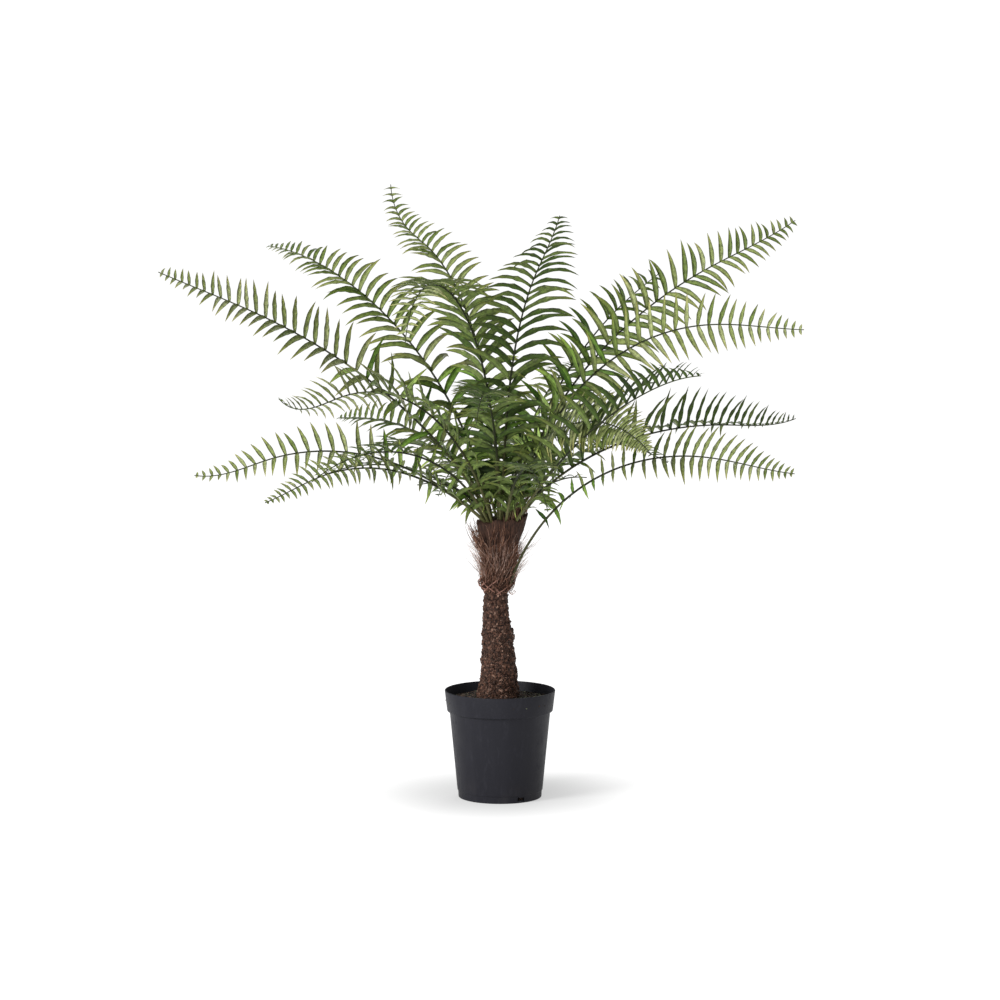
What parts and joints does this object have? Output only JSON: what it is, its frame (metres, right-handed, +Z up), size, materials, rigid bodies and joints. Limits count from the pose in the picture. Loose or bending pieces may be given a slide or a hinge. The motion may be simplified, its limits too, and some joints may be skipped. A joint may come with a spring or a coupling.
{
  "type": "artificial potted tree fern",
  "caption": "Artificial tree fern with arching feathered plastic fronds on a bark-covered pole, its crown wrapped in coir fibre, set in a plain black nursery pot.",
  "frame": {"origin": "centre of the pot's flat underside, where the plant stands on the floor", "axes": "+Z up along the pot's axis, -Y towards the front of the plant, +X to its right"},
  "size_m": [1.0966, 1.0125, 1.0351],
  "materials": {
    "pot_plastic": "satin",
    "potting_bark": "matte",
    "trunk_bark": "matte",
    "coir": "matte",
    "frond": "satin"
  },
  "bodies": {
    "root": {"pot": "pot_plastic", "potting_fill": "potting_bark", "trunk": "trunk_bark", "crown_sheath": "coir", "frond_left_high": "frond", "frond_left_back_high": "frond", "frond_back_left_tall": "frond", "frond_front_tall": "frond", "frond_right_high": "frond", "frond_right_arching": "frond", "frond_right_front_mid": "frond", "frond_right_back_low": "frond", "frond_right_neck": "frond", "frond_left_front_mid": "frond", "frond_left_back_mid": "frond", "frond_left_low": "frond", "frond_left_front_low": "frond", "frond_front_left_arching": "frond", "frond_right_back_high": "frond", "frond_front_right_low": "frond", "frond_front_mid": "frond", "frond_front_low": "frond", "frond_front_left_low": "frond", "frond_back_right_mid": "frond", "frond_back_mid": "frond", "frond_left_back_low": "frond", "frond_back_right_low": "frond", "frond_back_low": "frond", "frond_back_left_low": "frond", "frond_back_bottom": "frond", "frond_crown_front": "frond", "frond_crown_left": "frond", "frond_crown_right": "frond", "frond_crown_back": "frond"}
  },
  "joints": []
}
